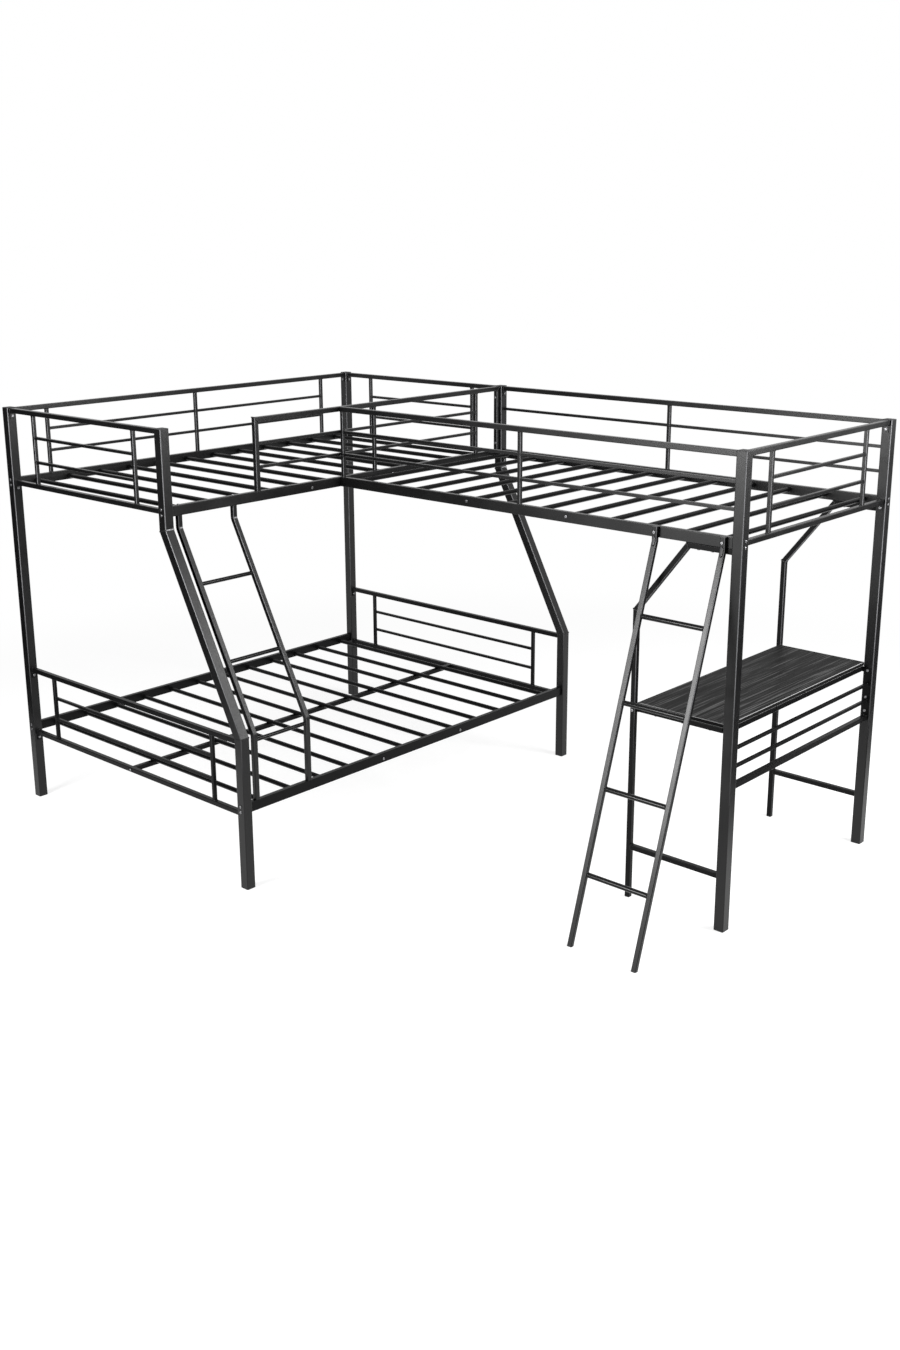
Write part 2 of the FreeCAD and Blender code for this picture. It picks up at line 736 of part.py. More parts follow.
# Desk legs: each frame stands on one foot, leans over under the loft rail and ends at the post
leg_frames = [
    ("desk_front_leg_frame", loft_y, "post_loft_front", "loft_front_rail", Y),
    ("desk_back_leg_frame", bunk_length, "post_loft_back", "loft_back_rail", Y * -1),
]
for name, y, post, rail, inward in leg_frames:
    points = [
        Vector(desk_leg_x, y, foot_height),
        Vector(desk_leg_x, y, desk_kink_z),
        Vector(desk_kink_top_x, y, brace_z),
        Vector(loft_x - half_post, y, brace_z),
    ]
    add(name, *mitred_run(points, Y, tube_size, tube_wall, tube_corner))
    leg_line = Line((desk_leg_x, y), (loft_x, y))
    plated_tube(name, "desk_bolts", leg_line, stretcher_z, (None, post), stretcher_size, half_tube)
    add("desk_feet", end_plug(desk_leg_x, y, foot_height, tube_size, tube_wall, tube_corner, -1))
    brace_grip = tube_size + rail_wall
    for inset in brace_bolt_insets:
        seat = Vector(desk_kink_top_x + inset, y, brace_z - half_tube)
        put_bolt("desk_bolts", seat, Z, brace_grip + nut_height + thread_past_nut, (name, rail), brace_grip)

# Desk frame: four tubes under the board, between the legs and the end frame's plates
frame_front = loft_y + half_tube
frame_back = bunk_length - half_tube
board_front = frame_front + desk_board_gap
board_back = frame_back - desk_board_gap
plate_front = loft_y + half_post
plate_back = bunk_length - half_post
right_tube_x = desk_board_right - half_tube
left_front = Vector(desk_leg_x, frame_front, desk_frame_z)
left_back = Vector(desk_leg_x, frame_back, desk_frame_z)
right_front = Vector(right_tube_x, plate_front + desk_plate, desk_frame_z)
right_back = Vector(right_tube_x, plate_back - desk_plate, desk_frame_z)
add("desk_frame", square_tube(left_front, left_back, X))
add("desk_frame", square_tube(right_front, right_back, X))
for y in (board_front + half_tube, board_back - half_tube):
    start = Vector(desk_leg_x + half_tube, y, desk_frame_z)
    end = Vector(right_tube_x - half_tube, y, desk_frame_z)
    add("desk_frame", square_tube(start, end, Y))
tube_bolt("desk_bolts", left_front, Y, X, tube_size, ("desk_front_leg_frame",))
tube_bolt("desk_bolts", left_back, Y * -1, X, tube_size, ("desk_back_leg_frame",))

board = box(
    Vector(desk_board_left, board_front, board_bottom),
    Vector(desk_board_right, board_back, desk_top_z),
)
add("desk_top", board.makeFillet(desk_board_round, board.Edges))
for y in (board_front + half_tube, board_back - half_tube):
    for share in desk_screw_shares:
        x = desk_board_left + (desk_board_right - desk_board_left) * share
        seat = Vector(x, y, desk_frame_z - half_tube)
        put_bolt("desk_screws", seat, Z, desk_screw_length, ("desk_frame", "desk_top"))

# Desk end frame: bars between two plates, each bolted to the inner face of a loft post
end_low = desk_low_z - desk_low_tube / 2
end_plates = [(plate_front, Y, "post_loft_front"), (plate_back, Y * -1, "post_loft_back")]
for y, inward, post in end_plates:
    half = desk_plate_width / 2
    face = y + inward.y * desk_plate
    upright = ordered_box(Vector(loft_x - half, y, end_low), Vector(loft_x + half, face, board_bottom))
    ear = ordered_box(
        Vector(right_tube_x - half_tube, y, board_bottom - tube_size),
        Vector(loft_x, face, board_bottom),
    )
    add("desk_end_frame", upright.fuse(ear).removeSplitter().Solids[0])
    grip = desk_plate + post_wall
    for z in desk_plate_bolt_z:
        seat = Vector(loft_x, face, z)
        put_bolt("desk_bolts", seat, inward * -1, grip + nut_height + thread_past_nut,
                 ("desk_end_frame", post), grip)
for z, size in [(z, desk_bar_size) for z in desk_bar_z] + [(desk_low_z, desk_low_tube)]:
    start = Vector(loft_x, plate_front + desk_plate, z)
    end = Vector(loft_x, plate_back - desk_plate, z)
    add("desk_end_frame", square_tube(start, end, X, size, bar_wall, bar_corner))

os.makedirs("parts", exist_ok=True)
for name, solids in nodes.items():
    shape = Part.makeCompound(solids)
    shape.translate(origin_shift)
    shape.exportStep("parts/" + name + ".step")
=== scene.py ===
import math

import bmesh
import bpy
from bpy.props import FloatProperty, FloatVectorProperty, PointerProperty
from mathutils import Matrix, Vector


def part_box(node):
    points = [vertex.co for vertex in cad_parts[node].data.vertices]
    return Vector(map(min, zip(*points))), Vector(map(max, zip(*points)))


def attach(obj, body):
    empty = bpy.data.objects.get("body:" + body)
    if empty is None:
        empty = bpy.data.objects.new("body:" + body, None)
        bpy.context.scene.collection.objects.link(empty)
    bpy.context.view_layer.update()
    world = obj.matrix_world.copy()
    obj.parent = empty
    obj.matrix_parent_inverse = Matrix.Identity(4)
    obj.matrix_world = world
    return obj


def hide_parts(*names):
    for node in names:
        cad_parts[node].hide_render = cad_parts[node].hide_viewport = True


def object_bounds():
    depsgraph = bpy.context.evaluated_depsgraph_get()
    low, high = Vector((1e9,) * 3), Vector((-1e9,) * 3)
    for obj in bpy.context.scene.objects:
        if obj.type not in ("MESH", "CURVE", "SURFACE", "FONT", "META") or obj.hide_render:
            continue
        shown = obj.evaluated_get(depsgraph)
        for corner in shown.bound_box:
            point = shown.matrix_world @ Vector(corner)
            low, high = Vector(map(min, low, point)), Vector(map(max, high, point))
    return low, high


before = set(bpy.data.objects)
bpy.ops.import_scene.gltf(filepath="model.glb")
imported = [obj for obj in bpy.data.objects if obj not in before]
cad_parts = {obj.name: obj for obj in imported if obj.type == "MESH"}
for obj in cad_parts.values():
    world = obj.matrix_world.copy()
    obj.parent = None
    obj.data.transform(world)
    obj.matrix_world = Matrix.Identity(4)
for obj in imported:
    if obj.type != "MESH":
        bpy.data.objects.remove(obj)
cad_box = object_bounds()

bl_info = {
    "name": "Loft and bunk bed",
    "version": (1, 0, 0),
    "blender": (4, 5, 0),
    "location": "3D View > Sidebar > Loft Bed",
    "description": "Dresses the steel loft and bunk bed and sets its studio",
    "category": "Object",
}

# Steel tubes and sheet that leave the works welded and powder-coated
COATED_NODES = (
    "post_bunk_front_left", "post_bunk_front_right", "post_bunk_back_left", "post_bunk_back_right",
    "post_loft_front", "post_loft_back",
    "upper_left_rail", "upper_right_rail", "loft_front_rail", "loft_back_rail",
    "upper_front_panel", "upper_back_panel", "loft_end_panel",
    "upper_left_guard", "upper_right_guard", "loft_front_guard", "loft_back_guard",
    "bunk_ladder_front_stile", "bunk_ladder_back_stile",
    "loft_ladder_left_stile", "loft_ladder_right_stile", "loft_ladder_ends",
)
MATT_NODES = (
    "lower_left_rail", "lower_right_rail", "lower_front_panel", "lower_back_panel", "center_beam",
    "desk_front_leg_frame", "desk_back_leg_frame", "desk_frame", "desk_end_frame",
)
SLATS = ("upper_bunk_slats", "lower_bunk_slats", "loft_slats")
RUNGS = ("bunk_ladder_rungs", "loft_ladder_rungs")
BLACK_FASTENERS = (
    "rail_bolts", "panel_bolts", "guard_bolts", "slat_bolts", "bunk_ladder_bolts", "loft_ladder_bolts",
    "desk_bolts", "desk_screws",
)
PLATED_PARTS = ("weld_nuts", "rail_end_blocks", "tube_end_plugs", "slat_end_plugs")

# Welded nodes, and the neighbours that their tube ends also meet
SQUARE_WELDS = {
    "upper_front_panel": (),
    "upper_back_panel": (),
    "lower_front_panel": (),
    "lower_back_panel": (),
    "loft_end_panel": (),
    "upper_left_guard": ("upper_left_rail",),
    "upper_right_guard": ("upper_right_rail",),
    "loft_front_guard": ("loft_front_rail", "post_loft_front"),
    "loft_back_guard": ("loft_back_rail", "post_loft_back", "post_bunk_back_right"),
    "desk_front_leg_frame": (),
    "desk_back_leg_frame": (),
    "desk_frame": (),
    "desk_end_frame": (),
}
# Posts that lean out between two bends, and the stiles that rungs are welded to
CRANKED_POSTS = ("post_bunk_front_right", "post_bunk_back_right")
BUNK_STILES = ("bunk_ladder_front_stile", "bunk_ladder_back_stile")
LOFT_STILES = ("loft_ladder_left_stile", "loft_ladder_right_stile")

# Metres within which two points are one, and within which two solids touch
MERGE_DISTANCE = 1e-5
TOUCH_DISTANCE = 2e-4
# A solid at least this many times as long as it is wide is a tube
SLENDER = 4.0
# Share of a ripple between two points of a weld bead
RIPPLE_STEP = 0.4
# Share of a cap's width that is level on top of its crown
CROWN_SHARE = 0.45

# How much of the normal faces one way, where an arris and its painted highlight start and where they are full
ARRIS_FROM = 0.2
ARRIS_FULL = 0.45
# Heights in metres where the painted highlight on the arrises starts and where it is full
HIGHLIGHT_FROM_HEIGHT = 0.45
HIGHLIGHT_FULL_HEIGHT = 0.95

# Numbered sockets of a Mix node: what it takes and what it gives
MIX_FACTOR = 0
MIX_NUMBER_A = 2
MIX_NUMBER_B = 3
MIX_COLOUR_A = 6
MIX_COLOUR_B = 7
MIXED_NUMBER = 0
MIXED_COLOUR = 2

RIGHT = Vector((1, 0, 0))
BACK = Vector((0, 1, 0))
UP = Vector((0, 0, 1))
WHITE = (1.0, 1.0, 1.0)


def linear(hex_colour):
    """Linear red, green and blue of an sRGB hex colour."""
    levels = [int(hex_colour[start:start + 2], 16) / 255 for start in (1, 3, 5)]
    return tuple(c / 12.92 if c <= 0.04045 else ((c + 0.055) / 1.055) ** 2.4 for c in levels)


def per_metre(millimetres):
    """Texture scale whose features are this many millimetres across."""
    return 1000 / millimetres


def add_node(tree, kind, inputs=(), **settings):
    """Adds a node with its settings; an input is a value or the socket that feeds it."""
    node = tree.nodes.new(kind)
    for name, value in settings.items():
        setattr(node, name, value)
    for key, value in dict(inputs).items():
        if isinstance(value, bpy.types.NodeSocket):
            tree.links.new(value, node.inputs[key])
        else:
            node.inputs[key].default_value = value
    return node


def new_material(name):
    """Empty node material; returns it with its tree."""
    material = bpy.data.materials.new(name)
    material.use_nodes = True
    material.node_tree.nodes.clear()
    return material, material.node_tree


def colour(value):
    """Opaque colour, as a node takes it."""
    return (*value, 1.0)


def set_ramp(node, stops):
    """Gives a colour ramp its stops, as pairs of place and linear colour."""
    ramp = node.color_ramp
    while len(ramp.elements) < len(stops):
        ramp.elements.new(0.5)
    for element, (place, value) in zip(ramp.elements, stops):
        element.position = place
        element.color = colour(value)


def colour_property(name, description, hex_colour):
    """Colour that a user can change, from an sRGB hex value."""
    return FloatVectorProperty(
        name=name, description=description, subtype="COLOR", size=3, min=0.0, max=1.0,
        default=linear(hex_colour),
    )


def length_property(name, description, metres):
    """Length that a user can change."""
    return FloatProperty(name=name, description=description, default=metres, min=0.0, unit="LENGTH")


def place_property(name, description, metres):
    """Place or stretch in the frame that a user can change."""
    return FloatVectorProperty(
        name=name, description=description, default=metres, subtype="TRANSLATION", unit="LENGTH")


def new_object(name, data):
    """Object in the scene that shows a mesh, light or camera."""
    made = bpy.data.objects.new(name, data)
    bpy.context.scene.collection.objects.link(made)
    return made


class LoftBedSizes(bpy.types.PropertyGroup):
    """Sizes of the details that are added to the frame."""

    post_size: length_property(
        "Post size", "Width of a square post",
        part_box("post_bunk_front_left")[1].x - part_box("post_bunk_front_left")[0].x)
    post_corner: length_property("Post corner", "Outer corner radius of a post", 0.0035)
    post_bend_top: length_property("Upper post bend", "Height where the bunk post starts to lean out", 1.340)
    post_bend_low: length_property(
        "Lower post bend", "Height where the bunk post stands upright again", 0.602)
    tube_size: length_property("Tube size", "Width of the desk leg tube and the guard's corner", 0.020)
    tube_corner: length_property("Tube corner", "Outer corner radius of a square tube", 0.0025)
    desk_bend_low: length_property("Desk leg bend", "Height where the desk leg starts to lean", 1.116)
    desk_lean: length_property("Desk leg lean", "How far the desk leg leans over", 0.206)
    bead_radius: length_property("Weld bead", "Radius of the weld bead round a tube end", 0.0016)
    seam_radius: length_property("Weld seam", "Radius of the dressed seam round a mitred bend", 0.0022)
    crease_radius: length_property("Crease", "Radius of the pressed crease across an upper bend", 0.0030)
    stile_size: length_property(
        "Stile size", "Width of a bunk ladder stile",
        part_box("bunk_ladder_front_stile")[1].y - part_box("bunk_ladder_front_stile")[0].y)
    ripple_length: length_property("Weld ripple", "Spacing of the ripples along a bead", 0.0030)
    ripple_depth: FloatProperty(
        name="Ripple depth", description="Share of the bead radius that the ripples take",
        default=0.22, min=0.0, max=1.0, subtype="FACTOR")
    cap_height: length_property("Cap height", "Height of the moulded cap on a post", 0.003)
    foot_height: length_property("Foot height", "Height of the moulded foot under a leg", 0.004)
    cap_round: length_property("Cap edge", "Radius of the moulded edge of a cap or foot", 0.0016)
    cap_crown: length_property("Cap crown", "Rise of the middle of a cap", 0.0005)


class LoftBedColours(bpy.types.PropertyGroup):
    """Colours of the finishes."""

    coat_dark: colour_property("Coat, dark", "Black powder coat in its hollows", "#060606")
    coat_light: colour_property("Coat, light", "Black powder coat on its grains", "#101011")
    # Painted highlight: pale grey laid on the arrises between the front and right-hand faces; it is also the
    # darker tone of the painted glint on the creases
    coat_painted_highlight: colour_property("Coat, painted highlight", "Highlight painted on the arrises that face the room", "#6c6c6e")
    # Painted highlight: near-white glint colour laid on the pressed creases at the upper bends
    coat_painted_glint: colour_property("Coat, painted glint", "Glint painted pale on a pressed crease", "#c4c4c6")
    plastic: colour_property("Plastic", "Black moulded polyethylene", "#141415")
    plastic_scuffed: colour_property("Plastic, scuffed", "Polyethylene where it is scuffed", "#262628")
    bolt: colour_property("Bolt", "Black-oxide steel", "#6c6c6e")
    bolt_worn: colour_property("Bolt, worn", "Black-oxide steel where it is rubbed", "#a8a8aa")
    zinc: colour_property("Zinc", "Zinc-plated steel", "#b4b8bb")
    zinc_dull: colour_property("Zinc, dull", "Zinc plate where it has dulled", "#8e9295")
    board_dark: colour_property("Board, dark", "Dark growth rings of the desk board", "#0c0c0c")
    board_mid: colour_property("Board, middle", "Body colour of the desk board", "#1d1d1d")
    board_pale: colour_property("Board, pale", "Pale streaks of the desk board", "#4e4e4e")
    board_edge: colour_property("Board edge", "Edge band of the desk board", "#141414")
    # Painted highlight: pale grey laid on the rounded edge of the desk board
    board_arris_highlight: colour_property("Board arris highlight", "Highlight painted on the rounded edge of the desk board", "#868686")


class LoftBedStudio(bpy.types.PropertyGroup):
    """Camera and light of the studio."""

    camera_place: place_property("Camera place", "Where the camera stands", (3.93517, -4.21671, 2.43064))
    camera_turn: FloatProperty(
        name="Camera turn", description="How far the camera is turned to its left", unit="ROTATION",
        default=0.7456627)
    camera_dip: FloatProperty(
        name="Camera dip", description="How far the camera looks down", unit="ROTATION", default=0.2707367)
    camera_roll: FloatProperty(
        name="Camera roll", description="How far the camera leans sideways", unit="ROTATION",
        default=-0.0067739)
    camera_lens: FloatProperty(
        name="Camera lens", description="Focal length in millimetres on a 36 mm frame", default=38.698,
        min=1.0, unit="CAMERA")
    camera_shift: FloatVectorProperty(
        name="Camera shift", description="Lens shift across and up", size=2, default=(0.009464, -0.033254))
    front_place: place_property("Front softbox", "Where the softbox in front hangs", (-0.66, -4.57, 2.07))
    front_size: length_property("Front softbox size", "Width of the softbox in front", 1.73)
    front_light: FloatProperty(
        name="Front light", description="Power of the softbox in front", default=260.0, min=0.0, unit="POWER")
    side_place: place_property("Side softbox", "Where the softbox beside the loft hangs", (3.58, 1.20, 2.33))
    side_size: length_property("Side softbox size", "Width of the softbox beside the loft", 2.23)
    side_light: FloatProperty(
        name="Side light", description="Power of the softbox beside the loft", default=235.0, min=0.0,
        unit="POWER")
    sky_light: FloatProperty(
        name="Sky light", description="Strength of the even light all round", default=0.32, min=0.0)
    floor_colour: colour_property("Floor", "Pale studio floor", "#9c9c9c")
    floor_reach: length_property("Floor reach", "From the middle of the floor to its sides", 30.0)
    floor_glow: FloatProperty(
        name="Floor glow", description="What the floor adds to its light to read as white", default=0.76,
        min=0.0)
    floor_white_from: length_property(
        "Floor fades from", "Distance where the floor starts to turn white", 2.6)
    floor_white_at: length_property(
        "Floor fades until", "Distance where the floor is as white as the sky", 4.4)
    flag_colour: colour_property("Flag", "Black cloth of the flags beside the set", "#050505")
    left_flag_start: place_property(
        "Left flag start", "Where the left flag's foot starts", (-2.8, -1.08, 0.0))
    left_flag_end: place_property("Left flag end", "Where the left flag's foot ends", (-1.0, -2.16, 0.0))
    left_flag_rise: place_property("Left flag rise", "From the left flag's foot to its top", (0.0, 0.0, 1.9))
    right_flag_start: place_property(
        "Right flag start", "Where the right flag's foot starts", (1.96, 0.40, 0.0))
    right_flag_end: place_property("Right flag end", "Where the right flag's foot ends", (1.96, 3.4, 0.0))
    right_flag_rise: place_property(
        "Right flag rise", "From the right flag's foot to its top", (0.49, 0.0, 1.5))


# The rubbed argument is the colour of the painted highlight on the front right-hand arrises
def powder_coat(name, dark, light, rubbed, grain_mm, peel_mm, peel_depth, shine, smooth, rough):
    """Black polyester powder, sprayed and baked on steel: a satin skin with fine grains and orange peel,
    with a highlight painted above knee height on the upright arrises between the front and the right-hand
    faces."""
    material, tree = new_material(name)
    place = add_node(tree, "ShaderNodeTexCoord").outputs["Object"]
    # The real grains are under half a millimetre, so they are drawn coarser to show
    grains = add_node(tree, "ShaderNodeTexNoise", {
        "Vector": place, "Scale": per_metre(grain_mm), "Detail": 2.0, "Roughness": 0.65})
    # The gloss drifts over about a hand's width
    cloud = add_node(tree, "ShaderNodeTexNoise", {"Vector": place, "Scale": per_metre(160.0), "Detail": 3.0})
    tone = add_node(tree, "ShaderNodeValToRGB", {"Fac": grains.outputs["Fac"]})
    set_ramp(tone, [(0.36, dark), (0.66, light)])
    normal = add_node(tree, "ShaderNodeNewGeometry").outputs["Normal"]
    faced = add_node(tree, "ShaderNodeSeparateXYZ", {"Vector": normal})
    front = add_node(tree, "ShaderNodeMapRange", {
        "Value": faced.outputs["Y"], "From Min": -ARRIS_FROM, "From Max": -ARRIS_FULL})
    right = add_node(tree, "ShaderNodeMapRange", {
        "Value": faced.outputs["X"], "From Min": ARRIS_FROM, "From Max": ARRIS_FULL})
    arris = add_node(tree, "ShaderNodeMath", {
        0: front.outputs["Result"], 1: right.outputs["Result"]}, operation="MULTIPLY")
    height = add_node(tree, "ShaderNodeSeparateXYZ", {"Vector": place}).outputs["Z"]
    highlight_height = add_node(tree, "ShaderNodeMapRange", {
        "Value": height, "From Min": HIGHLIGHT_FROM_HEIGHT, "From Max": HIGHLIGHT_FULL_HEIGHT})
    painted_highlight_share = add_node(tree, "ShaderNodeMath", {
        0: arris.outputs["Value"], 1: highlight_height.outputs["Result"]}, operation="MULTIPLY")
    # Painted highlight: the rubbed colour is mixed into the grains where an arris faces front and right,
    # fading out below knee height
    worn = add_node(tree, "ShaderNodeMix", {
        MIX_FACTOR: painted_highlight_share.outputs["Value"], MIX_COLOUR_A: tone.outputs["Color"],
        MIX_COLOUR_B: colour(rubbed)}, data_type="RGBA")
    gloss = add_node(tree, "ShaderNodeMapRange", {
        "Value": cloud.outputs["Fac"], "From Min": 0.3, "From Max": 0.7, "To Min": smooth, "To Max": rough})
    peel = add_node(tree, "ShaderNodeTexNoise", {"Vector": place, "Scale": per_metre(peel_mm), "Detail": 1.0})
    bump = add_node(tree, "ShaderNodeBump", {
        "Height": peel.outputs["Fac"], "Strength": 0.35, "Distance": peel_depth})
    skin = add_node(tree, "ShaderNodeBsdfPrincipled", {
        "Base Color": worn.outputs[MIXED_COLOUR], "Roughness": gloss.outputs["Result"],
        "IOR": 1.5, "Specular IOR Level": shine, "Normal": bump.outputs["Normal"]})
    add_node(tree, "ShaderNodeOutputMaterial", {"Surface": skin.outputs["BSDF"]})
    return material


def moulded_plastic(name, colours):
    """Low-density polyethylene, injection-moulded: waxy black with a fine spark-eroded texture."""
    material, tree = new_material(name)
    place = add_node(tree, "ShaderNodeTexCoord").outputs["Object"]
    # Spark texture is about a tenth of a millimetre, drawn coarser to show
    spark = add_node(tree, "ShaderNodeTexNoise", {"Vector": place, "Scale": per_metre(1.5), "Detail": 3.0})
    scuff = add_node(tree, "ShaderNodeTexNoise", {"Vector": place, "Scale": per_metre(18.0), "Detail": 4.0})
    tone = add_node(tree, "ShaderNodeValToRGB", {"Fac": scuff.outputs["Fac"]})
    set_ramp(tone, [(0.4, colours.plastic), (0.8, colours.plastic_scuffed)])
    gloss = add_node(tree, "ShaderNodeMapRange", {
        "Value": scuff.outputs["Fac"], "From Min": 0.3, "From Max": 0.7, "To Min": 0.48, "To Max": 0.62})
    bump = add_node(tree, "ShaderNodeBump", {
        "Height": spark.outputs["Fac"], "Strength": 0.3, "Distance": 0.0002})
    skin = add_node(tree, "ShaderNodeBsdfPrincipled", {
        "Base Color": tone.outputs["Color"], "Roughness": gloss.outputs["Result"],
        "IOR": 1.51, "Specular IOR Level": 0.35, "Normal": bump.outputs["Normal"]})
    add_node(tree, "ShaderNodeOutputMaterial", {"Surface": skin.outputs["BSDF"]})
    return material


def worked_metal(name, base, worn, grit_mm, smooth, rough):
    """Turned or plated steel: a metal whose thin finish is mottled and a little rubbed."""
    material, tree = new_material(name)
    place = add_node(tree, "ShaderNodeTexCoord").outputs["Object"]
    mottle = add_node(tree, "ShaderNodeTexNoise", {
        "Vector": place, "Scale": per_metre(grit_mm), "Detail": 4.0, "Roughness": 0.6})
    tone = add_node(tree, "ShaderNodeValToRGB", {"Fac": mottle.outputs["Fac"]})
    set_ramp(tone, [(0.35, base), (0.75, worn)])
    gloss = add_node(tree, "ShaderNodeMapRange", {
        "Value": mottle.outputs["Fac"], "From Min": 0.3, "From Max": 0.7, "To Min": smooth, "To Max": rough})
    skin = add_node(tree, "ShaderNodeBsdfPrincipled", {
        "Base Color": tone.outputs["Color"], "Metallic": 1.0, "Roughness": gloss.outputs["Result"]})
    add_node(tree, "ShaderNodeOutputMaterial", {"Surface": skin.outputs["BSDF"]})
    return material


def grain_board(name, colours):
    """Black wood-grain melamine foil on particle board: long streaks along the desk, a plain edge band
    and a highlight painted on the rounded arris between them."""
    material, tree = new_material(name)
    place = add_node(tree, "ShaderNodeTexCoord").outputs["Object"]
    # Rings 7 mm apart, drawn out along the desk; pores are half a millimetre, drawn coarser to show
    long_rings = add_node(tree, "ShaderNodeMapping", {"Vector": place, "Scale": (1.0, 0.02, 1.0)})
    rings = add_node(tree, "ShaderNodeTexNoise", {
        "Vector": long_rings.outputs["Vector"], "Scale": per_metre(7.0), "Detail": 4.0, "Roughness": 0.6,
        "Distortion": 0.4})
    long_pores = add_node(tree, "ShaderNodeMapping", {"Vector": place, "Scale": (1.0, 0.01, 1.0)})
    pores = add_node(tree, "ShaderNodeTexNoise", {
        "Vector": long_pores.outputs["Vector"], "Scale": per_metre(4.0), "Detail": 2.0, "Roughness": 0.5})
    both = add_node(tree, "ShaderNodeMix", {
        MIX_FACTOR: 0.55, MIX_NUMBER_A: rings.outputs["Fac"],
        MIX_NUMBER_B: pores.outputs["Fac"]}).outputs[MIXED_NUMBER]
    streaks = add_node(tree, "ShaderNodeValToRGB", {"Fac": both})
    set_ramp(streaks, [
        (0.40, colours.board_dark), (0.49, colours.board_mid), (0.53, colours.board_mid),
        (0.62, colours.board_pale)])
    # The normal is level on the edge band, slanting on the arris and upright on the foil; the arris gets a
    # painted highlight
    normal = add_node(tree, "ShaderNodeNewGeometry").outputs["Normal"]
    level = add_node(tree, "ShaderNodeSeparateXYZ", {"Vector": normal}).outputs["Z"]
    upright = add_node(tree, "ShaderNodeMath", {0: level}, operation="ABSOLUTE").outputs["Value"]
    rounded = add_node(tree, "ShaderNodeMapRange", {"Value": upright, "From Min": 0.15, "From Max": 0.3})
    facing = add_node(tree, "ShaderNodeMapRange", {"Value": upright, "From Min": 0.9, "From Max": 0.98})
    edge = add_node(tree, "ShaderNodeMix", {
        MIX_FACTOR: rounded.outputs["Result"], MIX_COLOUR_A: colour(colours.board_edge),
        MIX_COLOUR_B: colour(colours.board_arris_highlight)}, data_type="RGBA")
    tone = add_node(tree, "ShaderNodeMix", {
        MIX_FACTOR: facing.outputs["Result"], MIX_COLOUR_A: edge.outputs[MIXED_COLOUR],
        MIX_COLOUR_B: streaks.outputs["Color"]}, data_type="RGBA")
    gloss = add_node(tree, "ShaderNodeMapRange", {
        "Value": both, "From Min": 0.35, "From Max": 0.65, "To Min": 0.42, "To Max": 0.58})
    bump = add_node(tree, "ShaderNodeBump", {
        "Height": pores.outputs["Fac"], "Strength": 0.25, "Distance": 0.0002})
    skin = add_node(tree, "ShaderNodeBsdfPrincipled", {
        "Base Color": tone.outputs[MIXED_COLOUR], "Roughness": gloss.outputs["Result"],
        "IOR": 1.5, "Specular IOR Level": 0.02, "Normal": bump.outputs["Normal"]})
    add_node(tree, "ShaderNodeOutputMaterial", {"Surface": skin.outputs["BSDF"]})
    return material


def dress(nodes, material):
    """Gives CAD nodes one material."""
    for name in nodes:
        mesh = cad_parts[name].data
        mesh.materials.clear()
        mesh.materials.append(material)


def box_of(places):
    """Lowest and highest corner of some points."""
    low = Vector([min(place[axis] for place in places) for axis in range(3)])
    high = Vector([max(place[axis] for place in places) for axis in range(3)])
    return low, high


def solids(node):
    """Points of each separate solid in a CAD node."""
    shape = bmesh.new()
    shape.from_mesh(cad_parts[node].data)
    bmesh.ops.remove_doubles(shape, verts=shape.verts, dist=MERGE_DISTANCE)
    unseen = set(shape.verts)
    found = []
    while unseen:
        island = [unseen.pop()]
        for vert in island:
            for edge in vert.link_edges:
                other = edge.other_vert(vert)
                if other in unseen:
                    unseen.remove(other)
                    island.append(other)
        found.append([vert.co.copy() for vert in island])
    shape.free()
    return found


def rounded_outline(centre, across, up, width, height, corner, steps=3):
    """Points round a rounded rectangle, in the plane of two directions."""
    points = []
    quarters = ((1, 1), (-1, 1), (-1, -1), (1, -1))
    for index, (side, rise) in enumerate(quarters):
        hub = centre + across * (side * (width / 2 - corner)) + up * (rise * (height / 2 - corner))
        for step in range(steps + 1):
            turn = math.pi / 2 * (index + step / steps)
            points.append(hub + across * (corner * math.cos(turn)) + up * (corner * math.sin(turn)))
    return points


def tube_end_outlines(tubes, neighbours, corner, round_tube):
    """Outlines of the square-cut tube ends that butt against another solid."""
    outlines = []
    for places in tubes:
        low, high = box_of(places)
        size = high - low
        axis = max(range(3), key=lambda item: size[item])
        others = [item for item in range(3) if item != axis]
        if size[axis] < SLENDER * max(size[item] for item in others):
            continue
        width, height = (size[item] for item in others)
        across, up = (Vector([float(item == other) for item in range(3)]) for other in others)
        for end in (low[axis], high[axis]):
            centre = (low + high) / 2
            centre[axis] = end
            rim = box_of([place for place in places if abs(place[axis] - end) < TOUCH_DISTANCE])
            if any(rim[1][item] - rim[0][item] < size[item] - TOUCH_DISTANCE for item in others):
                continue
            touching = [
                box for box in neighbours
                if box != (low, high) and all(
                    box[0][item] - TOUCH_DISTANCE <= centre[item] <= box[1][item] + TOUCH_DISTANCE
                    for item in range(3))
            ]
            if touching:
                radius = width / 2 if round_tube else corner
                outlines.append(rounded_outline(centre, across, up, width, height, radius))
    return outlines


def bend_outline(bend, before, after, across, size, corner):
    """Outline of a square tube on the mitre plane between two directions."""
    along = (before.normalized() + after.normalized()).normalized()
    up = along.cross(across).normalized()
    stretch = 1 / abs(along.dot(before.normalized()))
    return rounded_outline(bend, across, up, size, size * stretch, corner)


def outline_mesh(name, outlines):
    """Mesh of closed loops of edges."""
    points = []
    edges = []
    for outline in outlines:
        first = len(points)
        count = len(outline)
        points.extend(outline)
        edges.extend((first + index, first + (index + 1) % count) for index in range(count))
    mesh = bpy.data.meshes.new(name)
    mesh.from_pydata(points, edges, [])
    return mesh


